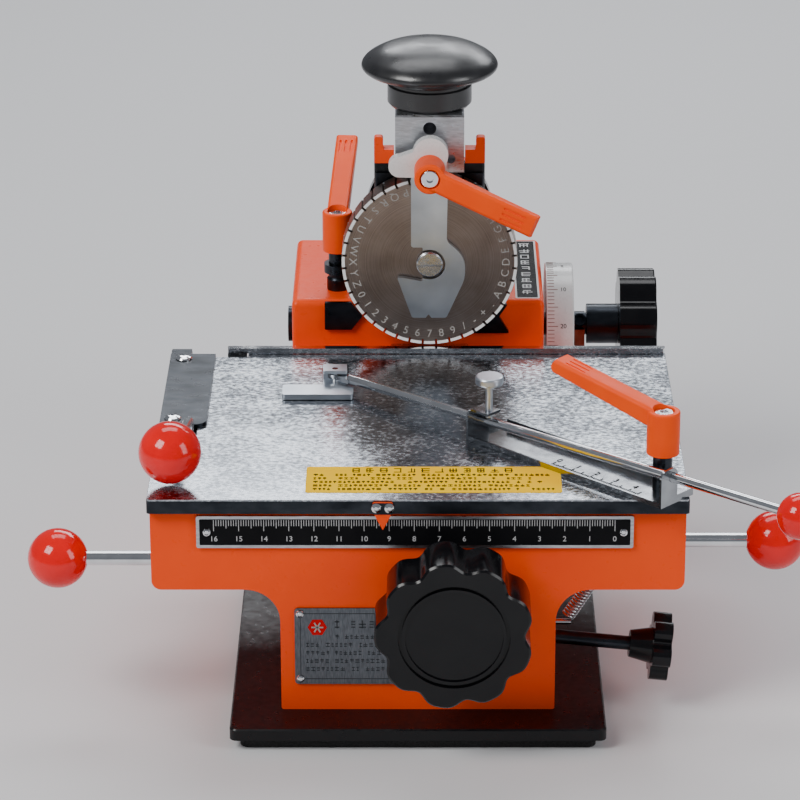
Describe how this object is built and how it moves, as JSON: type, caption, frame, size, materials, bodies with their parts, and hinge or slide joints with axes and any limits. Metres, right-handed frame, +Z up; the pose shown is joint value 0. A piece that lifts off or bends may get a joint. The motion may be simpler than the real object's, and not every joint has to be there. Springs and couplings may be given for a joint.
{
  "type": "rotary nameplate marking machine",
  "caption": "Bench machine that marks metal nameplates: type wheel on a hand-pressed ram over a sliding table with handwheel, ruler, angle stop and ball levers.",
  "frame": {"origin": "centre of the rubber pad's underside, on the surface that the machine stands on", "axes": "+Z up, +X to the operator's right, +Y away from the operator"},
  "size_m": [0.316, 0.3221, 0.24],
  "materials": {
    "orange_paint": "semi-gloss hammered enamel",
    "black_paint": "semi-gloss",
    "dark_steel": "blued, satin",
    "bright_steel": "ground",
    "zinc": "zinc plated",
    "mottled_sheet": "polished, mottled",
    "wheel_steel": "tempered brown",
    "chrome": "polished",
    "bronze": "turned bearing bronze",
    "bakelite": "moulded, glossy",
    "red_ball": "glossy",
    "orange_lever": "moulded, satin",
    "aluminium": "satin",
    "white_enamel": "white",
    "rubber": "matt",
    "nameplate": "etched"
  },
  "bodies": {
    "frame": {"base_pad": "rubber", "base_plate": "black_paint", "base_bolts": "dark_steel", "body_casting": "orange_paint", "column_casting": "orange_paint", "guide_rods": "chrome", "shaft_bushes": "bronze", "ruler_strip": "nameplate", "data_plate": "nameplate", "frame_screws": "chrome", "head_housing": "black_paint", "head_cap": "orange_paint", "keeper_plates": "dark_steel", "rear_cover": "bakelite", "anvil": "bright_steel", "index_plates": "dark_steel", "clamp_stud": "dark_steel", "ram_spring": "bright_steel", "lever_spring": "bright_steel"},
    "ram": {"ram_slide": "aluminium", "detent_plunger": "bright_steel", "press_knob": "bakelite", "wheel_spindle": "bright_steel"},
    "wheel": {"type_wheel": "wheel_steel"},
    "hook": {"hook_plate": "zinc"},
    "front_clamp": {"front_lever": "orange_lever", "front_lever_screw": "chrome", "cam_lug": "white_enamel"},
    "left_clamp": {"left_clamp_lever": "orange_lever", "left_clamp_screw": "chrome"},
    "hand_drive": {"handwheel": "bakelite", "handwheel_shaft": "bright_steel", "drive_pinion": "bright_steel"},
    "table": {"table_plate": "dark_steel", "table_sheet": "mottled_sheet", "drive_rack": "bright_steel", "slide_blocks": "aluminium", "side_cover": "dark_steel", "position_pointer": "orange_paint", "table_screws": "chrome", "bracket_stud": "dark_steel"},
    "rail_clamp": {"clamp_bar": "bright_steel", "clamp_ball": "red_ball", "clamp_rail": "chrome"},
    "left_feed": {"left_lever": "chrome", "left_ball": "red_ball"},
    "right_feed": {"right_lever": "chrome", "right_ball": "red_ball"},
    "dial": {"dial_drum": "white_enamel", "dial_shaft": "dark_steel", "dial_knob": "bakelite"},
    "side_stop": {"stop_screw": "dark_steel", "star_knob": "bakelite"},
    "bracket": {"guide_bracket": "zinc"},
    "bracket_clamp": {"guide_lever": "orange_lever", "guide_lever_screw": "chrome"},
    "rod_screw": {"thumb_screw": "zinc"},
    "stop_arm": {"guide_rod": "chrome", "guide_ball": "red_ball"},
    "foot": {"stop_foot": "zinc"}
  },
  "joints": [
    {"name": "table_slide", "type": "slide", "parent": "frame", "child": "table", "axis": [1, 0, 0], "range_m": [-0.0675, 0.0925]},
    {"name": "handwheel_turn", "type": "hinge", "parent": "frame", "child": "hand_drive", "pos_m": [0.0142, -0.1215, 0.0594], "axis": [0, 1, 0], "range_deg": [-200, 270]},
    {"name": "ram_press", "type": "slide", "parent": "frame", "child": "ram", "axis": [0, 0, -1], "range_m": [0, 0.004], "stiffness_N_per_m": 2500, "springref_m": -0.006, "deforming": ["ram_spring"]},
    {"name": "wheel_turn", "type": "hinge", "parent": "ram", "child": "wheel", "pos_m": [0.005, 0.038, 0.1458], "axis": [0, 1, 0], "continuous": true},
    {"name": "hook_swing", "type": "hinge", "parent": "ram", "child": "hook", "pos_m": [0.005, 0.0365, 0.1908], "axis": [0, -1, 0], "range_deg": [0, 35]},
    {"name": "front_clamp_turn", "type": "hinge", "parent": "ram", "child": "front_clamp", "pos_m": [0.005, 0.0285, 0.1908], "axis": [0, -1, 0], "range_deg": [-25, 60]},
    {"name": "left_clamp_turn", "type": "hinge", "parent": "frame", "child": "left_clamp", "pos_m": [-0.0355, 0.0685, 0.1406], "axis": [0, 0, 1], "range_deg": [0, 95]},
    {"name": "rail_open", "type": "hinge", "parent": "table", "child": "rail_clamp", "pos_m": [-0.095, -0.0115, 0.1008], "axis": [1, 0, 0], "range_deg": [0, 0.8], "stiffness_Nm_per_rad": 4, "springref_deg": -3.44},
    {"name": "left_lever_turn", "type": "hinge", "parent": "frame", "child": "left_feed", "pos_m": [-0.084, -0.106, 0.0705], "axis": [0, 0, -1], "range_deg": [0, 10], "stiffness_Nm_per_rad": 0.3, "springref_deg": -5.73},
    {"name": "right_lever_turn", "type": "hinge", "parent": "frame", "child": "right_feed", "pos_m": [0.084, -0.0915, 0.072], "axis": [0, 0, 1], "range_deg": [0, 9], "stiffness_Nm_per_rad": 0.3, "springref_deg": -5.73},
    {"name": "dial_turn", "type": "hinge", "parent": "frame", "child": "dial", "pos_m": [0.0555, 0.0925, 0.0966], "axis": [1, 0, 0], "range_deg": [0, 300]},
    {"name": "stop_screw_turn", "type": "hinge", "parent": "frame", "child": "side_stop", "pos_m": [0.0555, -0.0975, 0.0315], "axis": [0.9945, 0, -0.1045], "range_deg": [-360, 360]},
    {"name": "bracket_swivel", "type": "hinge", "parent": "table", "child": "bracket", "pos_m": [0.0973, -0.1153, 0.1046], "axis": [0, 0, 1], "range_deg": [-6, 8]},
    {"name": "bracket_clamp_turn", "type": "hinge", "parent": "table", "child": "bracket_clamp", "pos_m": [0.0973, -0.1153, 0.1206], "axis": [0, 0, 1], "range_deg": [-60, 60]},
    {"name": "thumb_screw_turn", "type": "hinge", "parent": "bracket", "child": "rod_screw", "pos_m": [0.02919, -0.06313, 0.118], "axis": [0, 0, 1], "continuous": true},
    {"name": "arm_slide", "type": "slide", "parent": "bracket", "child": "stop_arm", "axis": [0.7297, -0.6828, 0.0366], "range_m": [0, 0.05]},
    {"name": "foot_turn", "type": "hinge", "parent": "stop_arm", "child": "foot", "pos_m": [-0.0354, -0.0025, 0.1093], "axis": [0, 0, 1], "range_deg": [-12, 12]}
  ],
  "couplings": [
    {"joint": "handwheel_turn", "follows": "table_slide", "rad_per_m": 50}
  ]
}
